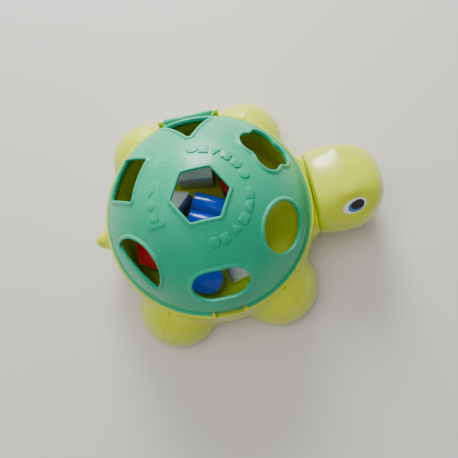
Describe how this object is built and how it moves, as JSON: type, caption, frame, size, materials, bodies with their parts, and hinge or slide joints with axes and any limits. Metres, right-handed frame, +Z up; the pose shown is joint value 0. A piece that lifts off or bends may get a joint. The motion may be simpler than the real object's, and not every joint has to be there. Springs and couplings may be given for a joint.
{
  "type": "shape sorter",
  "caption": "Turtle-shaped toy sorter: a hinged domed shell with shaped openings over a hollow bowl body with rounded legs, a turning head and loose prism blocks.",
  "frame": {"origin": "on the floor under the middle of the whole length and width", "axes": "+X from tail to head, +Y to the turtle's left, +Z up"},
  "size_m": [0.2845, 0.2352, 0.1343],
  "materials": {
    "yellow_plastic": "glossy moulded polypropylene",
    "green_plastic": "satin-gloss moulded polypropylene",
    "blue_plastic": "glossy moulded",
    "white_plastic": "satin moulded",
    "red_plastic": "glossy moulded",
    "natural_plastic": "uncoloured nylon",
    "eye_white": "glossy with a printed iris and pupil",
    "screw_steel": "zinc plated",
    "pin_steel": "drawn wire",
    "spring_steel": "oiled spring steel"
  },
  "bodies": {
    "base": {"upper_body": "yellow_plastic", "base_cover": "yellow_plastic", "cover_screws": "screw_steel", "hinge_pin": "pin_steel"},
    "lid": {"shell": "green_plastic"},
    "head": {"head_shell": "yellow_plastic", "head_spindle": "natural_plastic", "neck_clip": "spring_steel", "right_eye": "eye_white", "left_eye": "eye_white"},
    "loose_clover": {"clover_block": "blue_plastic"},
    "loose_stadium": {"stadium_block": "blue_plastic"},
    "loose_square": {"square_block": "white_plastic"},
    "loose_triangle": {"triangle_block": "white_plastic"},
    "loose_moon": {"moon_block": "white_plastic"},
    "loose_disc": {"disc_block": "red_plastic"},
    "loose_hexagon": {"hexagon_block": "red_plastic"}
  },
  "joints": [
    {"name": "shell_hinge", "type": "hinge", "parent": "base", "child": "lid", "pos_m": [-0.02775, 0.0973, 0.0595], "axis": [-1, 0, 0], "range_deg": [0, 105]},
    {"name": "head_turn", "type": "hinge", "parent": "base", "child": "head", "pos_m": [0.07205, 0, 0.036], "axis": [1, 0, 0], "range_deg": [-13, 47]},
    {"name": "clover_lift", "type": "slide", "parent": "base", "child": "loose_clover", "axis": [0, 0, 1], "range_m": [0, 0.02]},
    {"name": "stadium_lift", "type": "slide", "parent": "base", "child": "loose_stadium", "axis": [0, 0, 1], "range_m": [0, 0.02]},
    {"name": "square_lift", "type": "slide", "parent": "base", "child": "loose_square", "axis": [0, 0, 1], "range_m": [0, 0.02]},
    {"name": "triangle_lift", "type": "slide", "parent": "base", "child": "loose_triangle", "axis": [0, 0, 1], "range_m": [0, 0.02]},
    {"name": "moon_lift", "type": "slide", "parent": "base", "child": "loose_moon", "axis": [0, 0, 1], "range_m": [0, 0.02]},
    {"name": "disc_lift", "type": "slide", "parent": "base", "child": "loose_disc", "axis": [0, 0, 1], "range_m": [0, 0.02]},
    {"name": "hexagon_lift", "type": "slide", "parent": "base", "child": "loose_hexagon", "axis": [0, 0, 1], "range_m": [0, 0.02]}
  ]
}
